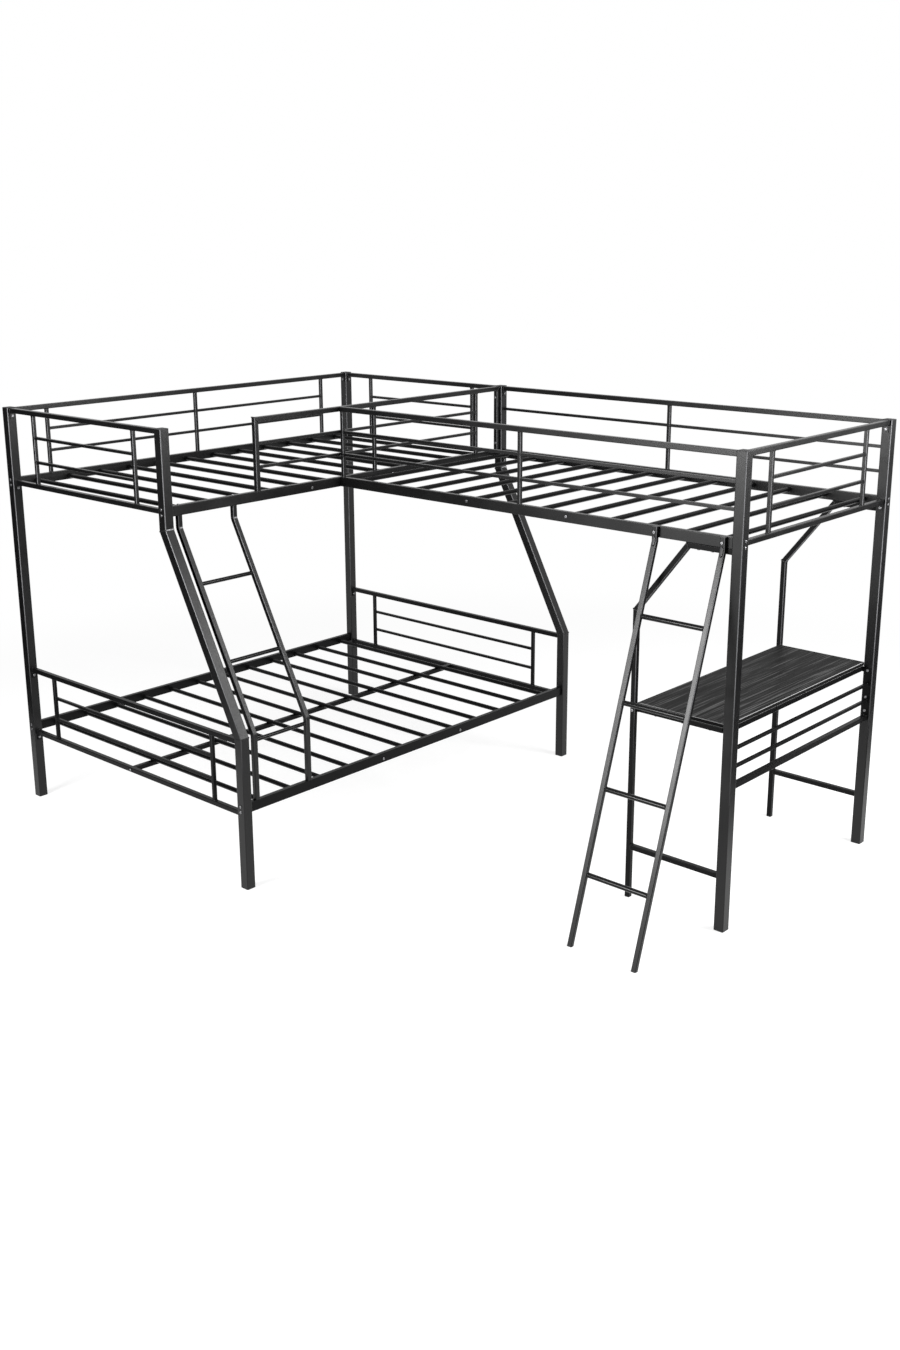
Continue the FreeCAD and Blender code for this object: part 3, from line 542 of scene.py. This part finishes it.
def line_mesh(name, lines):
    """Mesh of single edges."""
    points = [point for line in lines for point in line]
    mesh = bpy.data.meshes.new(name)
    mesh.from_pydata(points, [(first, first + 1) for first in range(0, len(points), 2)], [])
    return mesh


def new_tree(name, sockets):
    """Geometry node tree with named inputs; returns it, its input node and the sockets' identifiers."""
    tree = bpy.data.node_groups.new(name, "GeometryNodeTree")
    tree.interface.new_socket("Geometry", in_out="INPUT", socket_type="NodeSocketGeometry")
    tree.interface.new_socket("Geometry", in_out="OUTPUT", socket_type="NodeSocketGeometry")
    names = {}
    for label, kind in sockets.items():
        names[label] = tree.interface.new_socket(label, in_out="INPUT", socket_type=kind).identifier
    return tree, add_node(tree, "NodeGroupInput"), names


def end_tree(tree, shape, group):
    """Ends a tree with real geometry in its material."""
    real = add_node(tree, "GeometryNodeRealizeInstances", {"Geometry": shape})
    painted = add_node(tree, "GeometryNodeSetMaterial", {
        "Geometry": real.outputs["Geometry"], "Material": group.outputs["Material"]})
    add_node(tree, "NodeGroupOutput", {"Geometry": painted.outputs["Geometry"]})


def weld_tree():
    """Rippled bead laid along each loop or line of edges."""
    tree, group, names = new_tree("weld_bead", {
        "Bead Radius": "NodeSocketFloat", "Ripple Length": "NodeSocketFloat",
        "Ripple Depth": "NodeSocketFloat", "Material": "NodeSocketMaterial"})
    path = add_node(tree, "GeometryNodeMeshToCurve", {"Mesh": group.outputs["Geometry"]})
    step = add_node(tree, "ShaderNodeMath", {
        0: group.outputs["Ripple Length"], 1: RIPPLE_STEP}, operation="MULTIPLY")
    even = add_node(tree, "GeometryNodeResampleCurve", {
        "Curve": path.outputs["Curve"], "Length": step.outputs["Value"]}, mode="LENGTH")
    along = add_node(tree, "GeometryNodeSplineParameter").outputs["Length"]
    share = add_node(tree, "ShaderNodeMath", {
        0: along, 1: group.outputs["Ripple Length"]}, operation="DIVIDE")
    turn = add_node(tree, "ShaderNodeMath", {0: share.outputs["Value"], 1: math.tau}, operation="MULTIPLY")
    wave = add_node(tree, "ShaderNodeMath", {0: turn.outputs["Value"]}, operation="SINE")
    swell = add_node(tree, "ShaderNodeMath", {
        0: wave.outputs["Value"], 1: group.outputs["Ripple Depth"], 2: 1.0}, operation="MULTIPLY_ADD")
    ring = add_node(tree, "GeometryNodeCurvePrimitiveCircle", {
        "Resolution": 6, "Radius": group.outputs["Bead Radius"]})
    bead = add_node(tree, "GeometryNodeCurveToMesh", {
        "Curve": even.outputs["Curve"], "Profile Curve": ring.outputs["Curve"],
        "Scale": swell.outputs["Value"], "Fill Caps": True})
    smooth = add_node(tree, "GeometryNodeSetShadeSmooth", {"Geometry": bead.outputs["Mesh"]})
    end_tree(tree, smooth.outputs["Geometry"], group)
    return tree, names


def cap_tree():
    """Moulded square cap with a rounded edge and a slight crown, set on each point."""
    tree, group, names = new_tree("moulded_cap", {
        "Width": "NodeSocketFloat", "Corner": "NodeSocketFloat", "Height": "NodeSocketFloat",
        "Edge": "NodeSocketFloat", "Crown": "NodeSocketFloat", "Turn": "NodeSocketRotation",
        "Material": "NodeSocketMaterial"})
    size = group.outputs["Width"]
    edge = group.outputs["Edge"]
    square = add_node(tree, "GeometryNodeCurvePrimitiveQuadrilateral", {"Width": size, "Height": size})
    outline = add_node(tree, "GeometryNodeFilletCurve", {
        "Curve": square.outputs["Curve"], "Radius": group.outputs["Corner"], "Count": 4}, mode="POLY")
    base = add_node(tree, "GeometryNodeFillCurve", {"Curve": outline.outputs["Curve"]}, mode="NGONS")
    above = add_node(tree, "ShaderNodeMath", {
        0: group.outputs["Height"], 1: edge}, operation="SUBTRACT").outputs["Value"]
    wall_height = add_node(tree, "ShaderNodeMath", {
        0: above, 1: group.outputs["Crown"]}, operation="SUBTRACT").outputs["Value"]
    shell = add_node(tree, "GeometryNodeExtrudeMesh", {
        "Mesh": base.outputs["Mesh"], "Offset Scale": wall_height, "Individual": False})
    slope = 0.0
    for next_slope in (math.pi / 6, math.pi / 3, math.pi / 2):
        rise = add_node(tree, "ShaderNodeMath", {
            0: edge, 1: math.sin(next_slope) - math.sin(slope)}, operation="MULTIPLY")
        inset = add_node(tree, "ShaderNodeMath", {
            0: edge, 1: 2 * (math.cos(next_slope) - math.cos(slope))}, operation="MULTIPLY")
        shrink = add_node(tree, "ShaderNodeMath", {0: inset.outputs["Value"], 1: size}, operation="DIVIDE")
        keep = add_node(tree, "ShaderNodeMath", {0: shrink.outputs["Value"], 1: 1.0}, operation="ADD")
        raised = add_node(tree, "GeometryNodeExtrudeMesh", {
            "Mesh": shell.outputs[0], "Selection": shell.outputs["Top"],
            "Offset Scale": rise.outputs["Value"], "Individual": False})
        drawn_in = add_node(tree, "GeometryNodeScaleElements", {
            "Geometry": raised.outputs["Mesh"], "Selection": raised.outputs["Top"],
            "Scale": keep.outputs["Value"]})
        shell = add_node(tree, "GeometryNodeCaptureAttribute", {"Geometry": drawn_in.outputs["Geometry"]})
        shell.capture_items.new("BOOLEAN", "Top")
        shell.domain = "FACE"
        tree.links.new(raised.outputs["Top"], shell.inputs["Top"])
        slope = next_slope
    crown = add_node(tree, "GeometryNodeExtrudeMesh", {
        "Mesh": shell.outputs["Geometry"], "Selection": shell.outputs["Top"],
        "Offset Scale": group.outputs["Crown"], "Individual": False})
    domed = add_node(tree, "GeometryNodeScaleElements", {
        "Geometry": crown.outputs["Mesh"], "Selection": crown.outputs["Top"], "Scale": CROWN_SHARE})
    under = add_node(tree, "GeometryNodeFlipFaces", {"Mesh": base.outputs["Mesh"]})
    whole = add_node(tree, "GeometryNodeJoinGeometry")
    tree.links.new(domed.outputs["Geometry"], whole.inputs["Geometry"])
    tree.links.new(under.outputs["Mesh"], whole.inputs["Geometry"])
    closed = add_node(tree, "GeometryNodeMergeByDistance", {
        "Geometry": whole.outputs["Geometry"], "Distance": MERGE_DISTANCE})
    placed = add_node(tree, "GeometryNodeInstanceOnPoints", {
        "Points": group.outputs["Geometry"], "Instance": closed.outputs["Geometry"],
        "Rotation": group.outputs["Turn"]})
    end_tree(tree, placed.outputs["Instances"], group)
    return tree, names


def grow(name, seed_mesh, tree, names, values):
    """Runs a tree on a mesh and returns the result as a plain mesh object."""
    seed = new_object(name + "_seed", seed_mesh)
    modifier = seed.modifiers.new("grow", "NODES")
    modifier.node_group = tree
    for label, value in values.items():
        modifier[names[label]] = value
    bpy.context.view_layer.update()
    grown = seed.evaluated_get(bpy.context.evaluated_depsgraph_get())
    mesh = bpy.data.meshes.new_from_object(grown)
    if not mesh.polygons:
        raise RuntimeError("the tree made no faces for " + name)
    mesh.name = name
    seed.modifiers.remove(modifier)
    bpy.data.objects.remove(seed)
    return new_object(name, mesh)


class LOFTBED_OT_coat_steel(bpy.types.Operator):
    """Powder-coat the posts, rails, panels, guards, slats, ladders and desk frame"""

    bl_idname = "loftbed.coat_steel"
    bl_label = "Coat the steel"

    def execute(self, context):
        colours = context.scene.loft_bed_colours
        # The flat tubes take the painted highlight on their front right-hand arrises; the round tube takes
        # none
        flat = (colours.coat_dark, colours.coat_light, colours.coat_painted_highlight)
        pipe = (colours.coat_dark, colours.coat_light, colours.coat_light)
        dress(COATED_NODES, powder_coat(
            "black_powder_coat", *flat, grain_mm=2.4, peel_mm=4.0, peel_depth=0.00012,
            shine=0.3, smooth=0.27, rough=0.34))
        # The low frame and the desk's tubes look darker, so their coat is more matt
        dress(MATT_NODES, powder_coat(
            "matt_black_powder_coat", *flat, grain_mm=2.4, peel_mm=4.0, peel_depth=0.00012,
            shine=0.1, smooth=0.30, rough=0.38))
        # Round tube has a smoother, deeper black coat, and feet polish it on the rungs to a narrow gleam
        dress(SLATS, powder_coat(
            "black_powder_coat_on_pipe", *pipe, grain_mm=2.4, peel_mm=3.0, peel_depth=0.00006,
            shine=0.08, smooth=0.20, rough=0.25))
        dress(RUNGS, powder_coat(
            "black_powder_coat_rubbed", *pipe, grain_mm=2.4, peel_mm=3.0, peel_depth=0.00003,
            shine=0.16, smooth=0.09, rough=0.12))
        return {"FINISHED"}


class LOFTBED_OT_lay_welds(bpy.types.Operator):
    """Lay beads round the tube ends, seams round the mitres, and creases across the upper bends painted pale
    as a glint
    """

    bl_idname = "loftbed.lay_welds"
    bl_label = "Lay the welds"

    def execute(self, context):
        sizes = context.scene.loft_bed_sizes
        colours = context.scene.loft_bed_colours
        tree, names = weld_tree()
        even = (colours.coat_dark, colours.coat_light, colours.coat_light)
        # Painted glint: the creases are coloured pale grey to near-white all over, as a highlight
        pale = (colours.coat_painted_highlight, colours.coat_painted_glint, colours.coat_painted_glint)
        coat = powder_coat(
            "powder_coat_on_weld", *even, grain_mm=1.8, peel_mm=2.0, peel_depth=0.0002,
            shine=0.3, smooth=0.27, rough=0.34)
        gleam = powder_coat(
            "powder_coat_painted_glint_on_crease", *pale, grain_mm=1.8, peel_mm=2.0, peel_depth=0.0001,
            shine=0.5, smooth=0.16, rough=0.22)
        rungs = self.rung_welds("loft_ladder_rungs", LOFT_STILES)
        creases = self.bend_creases(sizes)
        groups = {
            "frame_weld_beads": (outline_mesh("beads", self.frame_welds(sizes)), sizes.bead_radius, coat),
            "frame_weld_seams": (outline_mesh("seams", self.bend_seams(sizes)), sizes.seam_radius, coat),
            "ladder_weld_beads": (outline_mesh("rungs", rungs), sizes.bead_radius, coat),
            "upper_bend_creases_painted_glint": (line_mesh("creases", creases), sizes.crease_radius, gleam),
        }
        for name, (paths, radius, material) in groups.items():
            piece = grow(name, paths, tree, names, {
                "Bead Radius": radius, "Ripple Length": sizes.ripple_length,
                "Ripple Depth": sizes.ripple_depth, "Material": material})
            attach(piece, "root")
        return {"FINISHED"}

    def frame_welds(self, sizes):
        """Outlines of the tube ends that are welded into the bunk ladder, panels, guards and desk frames."""
        outlines = self.rung_welds("bunk_ladder_rungs", BUNK_STILES)
        for node, beside in SQUARE_WELDS.items():
            tubes = solids(node)
            neighbours = [box_of(places) for places in tubes] + [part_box(name) for name in beside]
            outlines += tube_end_outlines(tubes, neighbours, sizes.tube_corner, False)
        return outlines

    def rung_welds(self, rungs, stiles):
        """Outlines of the rung ends that are welded to a ladder's stiles."""
        return tube_end_outlines(solids(rungs), [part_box(name) for name in stiles], 0.0, True)

    def cranked_bends(self, node, size, sizes):
        """Middles of the upper and the lower bend of a bunk post or stile that leans out."""
        low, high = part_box(node)
        y = (low.y + high.y) / 2
        upper = Vector((low.x + size / 2, y, sizes.post_bend_top))
        lower = Vector((high.x - size / 2, y, sizes.post_bend_low))
        return upper, lower

    def bend_creases(self, sizes):
        """Lines across the right-hand face of each upper bend of the bunk's posts and ladder stiles, which
        carry a painted glint.
        """
        posts = dict.fromkeys(CRANKED_POSTS, sizes.post_size)
        stiles = dict.fromkeys(BUNK_STILES, sizes.stile_size)
        lines = []
        for node, size in (posts | stiles).items():
            upper, lower = self.cranked_bends(node, size, sizes)
            along = ((lower - upper).normalized() - UP).normalized()
            face = upper + along.cross(BACK) * (size / 2 / -along.z)
            reach = BACK * (size / 2 - sizes.post_corner)
            lines.append((face - reach, face + reach))
        return lines

    def bend_seams(self, sizes):
        """Outlines of the mitres in the cranked posts, the desk legs and the right guard's corners."""
        post = (sizes.post_size, sizes.post_corner)
        tube = (sizes.tube_size, sizes.tube_corner)
        outlines = []
        for node in CRANKED_POSTS:
            upper, lower = self.cranked_bends(node, sizes.post_size, sizes)
            lean = lower - upper
            outlines.append(bend_outline(upper, -UP, lean, BACK, *post))
            outlines.append(bend_outline(lower, lean, -UP, BACK, *post))
        half = sizes.tube_size / 2
        for node in ("desk_front_leg_frame", "desk_back_leg_frame"):
            low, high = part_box(node)
            y = (low.y + high.y) / 2
            bend = Vector((low.x + half, y, sizes.desk_bend_low))
            top = Vector((low.x + half + sizes.desk_lean, y, high.z - half))
            lean = top - bend
            outlines.append(bend_outline(bend, UP, lean, BACK, *tube))
            outlines.append(bend_outline(top, lean, RIGHT, BACK, *tube))
        low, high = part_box("upper_right_guard")
        x = (low.x + high.x) / 2
        first = Vector((x, low.y + half, high.z - half))
        last = Vector((x, high.y - half, high.z - half))
        outlines.append(bend_outline(first, UP, BACK, RIGHT, *tube))
        outlines.append(bend_outline(last, BACK, -UP, RIGHT, *tube))
        return outlines


class LOFTBED_OT_fit_caps(bpy.types.Operator):
    """Fit the moulded caps on the posts and the moulded feet under the posts, desk legs and ladder"""

    bl_idname = "loftbed.fit_caps"
    bl_label = "Fit caps and feet"

    def execute(self, context):
        sizes = context.scene.loft_bed_sizes
        plastic = moulded_plastic("black_moulded_polyethylene", context.scene.loft_bed_colours)
        dress(("loft_ladder_feet",), plastic)
        tree, names = cap_tree()
        upright = (0.0, 0.0, 0.0)
        turned = (math.pi, 0.0, 0.0)
        groups = {
            "moulded_post_caps": ("post_caps", sizes.cap_height, sizes.cap_crown, sizes.post_corner, upright),
            "moulded_post_feet": ("post_feet", sizes.foot_height, 0.0, sizes.post_corner, turned),
            "moulded_desk_feet": ("desk_feet", sizes.foot_height, 0.0, sizes.tube_corner, turned),
        }
        for name, (node, height, crown, corner, turn) in groups.items():
            boxes = [box_of(places) for places in solids(node)]
            seats = []
            for low, high in boxes:
                centre = (low + high) / 2
                seat_z = high.z - height if turn == upright else low.z + height
                seats.append((centre.x, centre.y, seat_z))
            width = boxes[0][1].x - boxes[0][0].x
            seed = bpy.data.meshes.new(name + "_seats")
            seed.from_pydata(seats, [], [])
            piece = grow(name, seed, tree, names, {
                "Width": width, "Corner": corner, "Height": height, "Edge": sizes.cap_round,
                "Crown": crown, "Turn": turn, "Material": plastic})
            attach(piece, "root")
            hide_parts(node)
        return {"FINISHED"}


class LOFTBED_OT_finish_fasteners(bpy.types.Operator):
    """Blacken the bolts and screws, and plate the nuts and blocks inside the tubes"""

    bl_idname = "loftbed.finish_fasteners"
    bl_label = "Finish the fasteners"

    def execute(self, context):
        colours = context.scene.loft_bed_colours
        dress(BLACK_FASTENERS, worked_metal(
            "black_oxide_steel", colours.bolt, colours.bolt_worn, grit_mm=3.0, smooth=0.26, rough=0.40))
        dress(PLATED_PARTS, worked_metal(
            "zinc_plated_steel", colours.zinc, colours.zinc_dull, grit_mm=6.0, smooth=0.30, rough=0.48))
        return {"FINISHED"}


class LOFTBED_OT_face_desk(bpy.types.Operator):
    """Face the desk board with black wood-grain foil"""

    bl_idname = "loftbed.face_desk"
    bl_label = "Face the desk board"

    def execute(self, context):
        dress(("desk_top",), grain_board("black_woodgrain_melamine", context.scene.loft_bed_colours))
        return {"FINISHED"}


class LOFTBED_OT_set_studio(bpy.types.Operator):
    """Set the pale floor, the soft light, the black flags and the camera"""

    bl_idname = "loftbed.set_studio"
    bl_label = "Set the studio"

    def execute(self, context):
        studio = context.scene.loft_bed_studio
        context.scene.view_settings.view_transform = "Standard"
        self.lay_floor(studio)
        self.light_sky(context, studio)
        self.hang_softbox("front_softbox", studio.front_place, studio.front_size, studio.front_light)
        self.hang_softbox("side_softbox", studio.side_place, studio.side_size, studio.side_light)
        flags = {
            "left_flag": (studio.left_flag_start, studio.left_flag_end, studio.left_flag_rise),
            "right_flag": (studio.right_flag_start, studio.right_flag_end, studio.right_flag_rise),
        }
        for name, (first, last, rise) in flags.items():
            self.stand_flag(name, first, last, rise, studio)
        self.stand_camera(context, studio)
        return {"FINISHED"}

    def seen(self, tree):
        """One for rays that show the background as it is: seen by the camera, reflected or refracted."""
        path = add_node(tree, "ShaderNodeLightPath")
        direct = add_node(tree, "ShaderNodeMath", {
            0: path.outputs["Is Camera Ray"], 1: path.outputs["Is Glossy Ray"]}, operation="MAXIMUM")
        either = add_node(tree, "ShaderNodeMath", {
            0: direct.outputs["Value"], 1: path.outputs["Is Transmission Ray"]}, operation="MAXIMUM")
        return either.outputs["Value"]

    def lay_floor(self, studio):
        """Matt floor that takes shadows round the bed and fades to the white of the sky."""
        mesh = bpy.data.meshes.new("studio_floor")
        reach = studio.floor_reach
        corners = [(-reach, -reach, 0), (reach, -reach, 0), (reach, reach, 0), (-reach, reach, 0)]
        mesh.from_pydata(corners, [], [(0, 1, 2, 3)])
        floor = new_object("studio_floor", mesh)
        material, tree = new_material("pale_matt_floor")
        seen = self.seen(tree)
        matt = add_node(tree, "ShaderNodeBsdfDiffuse", {"Color": colour(studio.floor_colour)})
        strength = add_node(tree, "ShaderNodeMath", {0: seen, 1: studio.floor_glow}, operation="MULTIPLY")
        glow = add_node(tree, "ShaderNodeEmission", {
            "Color": colour(WHITE), "Strength": strength.outputs["Value"]})
        near = add_node(tree, "ShaderNodeAddShader", {0: matt.outputs["BSDF"], 1: glow.outputs["Emission"]})
        white = add_node(tree, "ShaderNodeEmission", {"Color": colour(WHITE), "Strength": 1.0})
        place = add_node(tree, "ShaderNodeTexCoord").outputs["Object"]
        distance = add_node(tree, "ShaderNodeVectorMath", {0: place}, operation="LENGTH")
        far = add_node(tree, "ShaderNodeMapRange", {
            "Value": distance.outputs["Value"], "From Min": studio.floor_white_from,
            "From Max": studio.floor_white_at}, interpolation_type="SMOOTHSTEP")
        share = add_node(tree, "ShaderNodeMath", {0: seen, 1: far.outputs["Result"]}, operation="MULTIPLY")
        whole = add_node(tree, "ShaderNodeMixShader", {
            0: share.outputs["Value"], 1: near.outputs["Shader"], 2: white.outputs["Emission"]})
        add_node(tree, "ShaderNodeOutputMaterial", {"Surface": whole.outputs["Shader"]})
        mesh.materials.append(material)

    def stand_flag(self, name, first, last, rise, studio):
        """Black cloth outside the picture, which keeps the white studio out of the gloss of some faces."""
        mesh = bpy.data.meshes.new(name)
        mesh.from_pydata([first, last, last + rise, first + rise], [], [(0, 1, 2, 3)])
        flag = new_object(name, mesh)
        material, tree = new_material("black_velvet_flag")
        cloth = add_node(tree, "ShaderNodeBsdfDiffuse", {"Color": colour(studio.flag_colour)})
        add_node(tree, "ShaderNodeOutputMaterial", {"Surface": cloth.outputs["BSDF"]})
        mesh.materials.append(material)
        flag.visible_camera = False
        flag.visible_diffuse = False
        flag.visible_shadow = False

    def light_sky(self, context, studio):
        """Even light all round, which the camera and the gloss see as white."""
        world = bpy.data.worlds.new("studio_sky")
        world.use_nodes = True
        tree = world.node_tree
        tree.nodes.clear()
        strength = add_node(tree, "ShaderNodeMix", {
            MIX_FACTOR: self.seen(tree), MIX_NUMBER_A: studio.sky_light, MIX_NUMBER_B: 1.0})
        sky = add_node(tree, "ShaderNodeBackground", {
            "Color": colour(WHITE), "Strength": strength.outputs[MIXED_NUMBER]})
        add_node(tree, "ShaderNodeOutputWorld", {"Surface": sky.outputs["Background"]})
        context.scene.world = world

    def hang_softbox(self, name, place, size, power):
        """Square softbox that looks at the middle of the bed."""
        lamp = bpy.data.lights.new(name, "AREA")
        lamp.size = size
        lamp.energy = power
        softbox = new_object(name, lamp)
        softbox.location = place
        middle = sum((Vector(corner) for corner in cad_box), Vector()) / 2
        softbox.rotation_euler = (middle - place).to_track_quat("-Z", "Y").to_euler()
        softbox.visible_camera = False

    def stand_camera(self, context, studio):
        """Camera that sees the bed as the photograph does."""
        lens = bpy.data.cameras.new("photo_camera")
        lens.sensor_width = 36.0
        lens.lens = studio.camera_lens
        lens.shift_x, lens.shift_y = studio.camera_shift
        lens.clip_end = 100.0
        camera = new_object("photo_camera", lens)
        turn = Matrix.Rotation(studio.camera_turn, 4, "Z")
        dip = Matrix.Rotation(math.pi / 2 - studio.camera_dip, 4, "X")
        roll = Matrix.Rotation(studio.camera_roll, 4, "Z")
        camera.matrix_world = Matrix.Translation(studio.camera_place) @ turn @ dip @ roll
        context.scene.camera = camera


STEPS = (
    LOFTBED_OT_coat_steel,
    LOFTBED_OT_lay_welds,
    LOFTBED_OT_fit_caps,
    LOFTBED_OT_finish_fasteners,
    LOFTBED_OT_face_desk,
    LOFTBED_OT_set_studio,
)


class LOFTBED_PT_sidebar(bpy.types.Panel):
    """Lists the steps that dress the bed, with their sizes and colours"""

    bl_idname = "LOFTBED_PT_sidebar"
    bl_label = "Loft Bed"
    bl_space_type = "VIEW_3D"
    bl_region_type = "UI"
    bl_category = "Loft Bed"

    def draw(self, context):
        for step in STEPS:
            self.layout.operator(step.bl_idname)
        scene = context.scene
        for group in (scene.loft_bed_sizes, scene.loft_bed_colours, scene.loft_bed_studio):
            column = self.layout.column()
            for name in group.__annotations__:
                column.prop(group, name)


GROUPS = {
    "loft_bed_sizes": LoftBedSizes,
    "loft_bed_colours": LoftBedColours,
    "loft_bed_studio": LoftBedStudio,
}


def register():
    """Adds the settings, the steps and the panel to Blender."""
    for name, group in GROUPS.items():
        bpy.utils.register_class(group)
        setattr(bpy.types.Scene, name, PointerProperty(type=group))
    for step in STEPS:
        bpy.utils.register_class(step)
    bpy.utils.register_class(LOFTBED_PT_sidebar)


def unregister():
    """Takes them out of Blender again."""
    bpy.utils.unregister_class(LOFTBED_PT_sidebar)
    for step in reversed(STEPS):
        bpy.utils.unregister_class(step)
    for name, group in GROUPS.items():
        delattr(bpy.types.Scene, name)
        bpy.utils.unregister_class(group)


def main():
    """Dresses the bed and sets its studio."""
    register()
    bpy.ops.loftbed.coat_steel()
    bpy.ops.loftbed.lay_welds()
    bpy.ops.loftbed.fit_caps()
    bpy.ops.loftbed.finish_fasteners()
    bpy.ops.loftbed.face_desk()
    bpy.ops.loftbed.set_studio()


if __name__ == "__main__":
    main()
